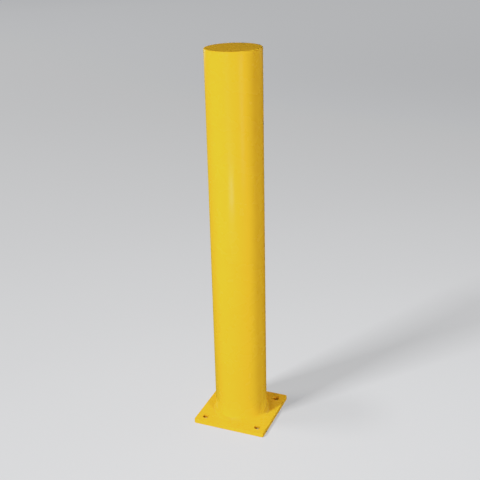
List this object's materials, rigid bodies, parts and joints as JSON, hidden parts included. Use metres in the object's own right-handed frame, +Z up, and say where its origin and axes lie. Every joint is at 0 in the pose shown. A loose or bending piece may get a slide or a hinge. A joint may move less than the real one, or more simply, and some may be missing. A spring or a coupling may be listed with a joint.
{
  "type": "safety bollard",
  "caption": "Steel guard post: a round tube closed by a flat welded cap and welded to a square base plate, which is anchored to a floor through its corner holes.",
  "frame": {"origin": "centre of the base plate's underside, on the floor that it stands on and on the post's axis", "axes": "+Z up along the post's axis; X and Y along the sides of the square base plate"},
  "size_m": [0.2, 0.2, 1],
  "materials": {
    "yellow_powder_coat": "gloss"
  },
  "bodies": {
    "root": {"base_plate": "yellow_powder_coat", "foot_weld": "yellow_powder_coat", "post_tube": "yellow_powder_coat", "cap_weld": "yellow_powder_coat", "top_cap": "yellow_powder_coat"}
  },
  "joints": []
}
